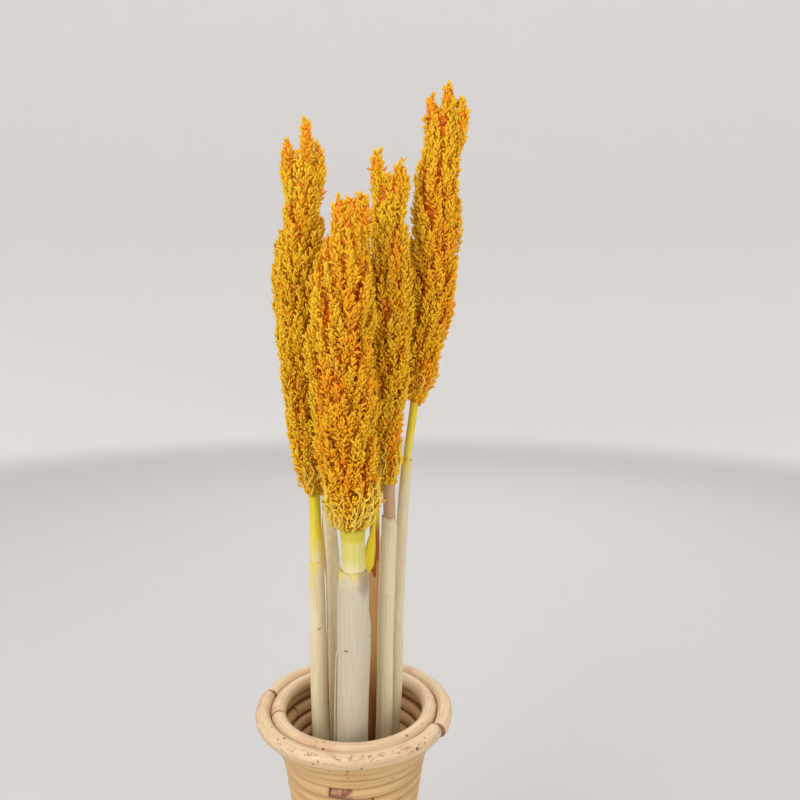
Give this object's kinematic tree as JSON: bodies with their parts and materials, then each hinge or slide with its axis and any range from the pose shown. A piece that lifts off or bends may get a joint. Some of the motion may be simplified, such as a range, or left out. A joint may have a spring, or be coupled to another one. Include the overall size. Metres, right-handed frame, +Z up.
{
  "type": "dried sorghum seed heads in a coiled cane vase",
  "caption": "Upright bunch of dyed golden sorghum seed heads on sheathed straw stalks, standing in a flared vase of stacked cane rings.",
  "frame": {"origin": "centre of the base board's flat underside, on the vase's axis", "axes": "+Z up along the vase's axis; -Y towards the side with the thickest seed head; +X towards the tallest head"},
  "size_m": [0.146, 0.14, 0.673],
  "materials": {
    "seed_head": "matte",
    "stalk": "matte",
    "leaf_sheath": "matte",
    "rim_cane": "satin",
    "wall_cane": "satin",
    "base_board": "matte"
  },
  "bodies": {
    "root": {"base": "base_board", "wall_cane_01": "wall_cane", "wall_cane_02": "wall_cane", "wall_cane_03": "wall_cane", "wall_cane_04": "wall_cane", "wall_cane_05": "wall_cane", "wall_cane_06": "wall_cane", "wall_cane_07": "wall_cane", "wall_cane_08": "wall_cane", "wall_cane_09": "wall_cane", "wall_cane_10": "wall_cane", "wall_cane_11": "wall_cane", "wall_cane_12": "wall_cane", "wall_cane_13": "wall_cane", "wall_cane_14": "wall_cane", "wall_cane_15": "wall_cane", "wall_cane_16": "wall_cane", "wall_cane_17": "wall_cane", "wall_cane_18": "wall_cane", "wall_cane_19": "wall_cane", "wall_cane_20": "wall_cane", "wall_cane_21": "wall_cane", "wall_cane_22": "wall_cane", "wall_cane_23": "wall_cane", "wall_cane_24": "wall_cane", "wall_cane_25": "wall_cane", "rim_cane_inner": "rim_cane", "rim_cane_outer": "rim_cane", "stalk_front": "stalk", "leaf_sheath_front": "leaf_sheath", "seed_head_front": "seed_head", "stalk_left": "stalk", "leaf_sheath_left": "leaf_sheath", "seed_head_left": "seed_head", "stalk_far_left": "stalk", "leaf_sheath_far_left": "leaf_sheath", "seed_head_far_left": "seed_head", "stalk_centre_right": "stalk", "leaf_sheath_centre_right": "leaf_sheath", "seed_head_centre_right": "seed_head", "stalk_right": "stalk", "leaf_sheath_right": "leaf_sheath", "seed_head_right": "seed_head", "stalk_back": "stalk", "leaf_sheath_back": "leaf_sheath", "seed_head_back": "seed_head"}
  },
  "joints": []
}
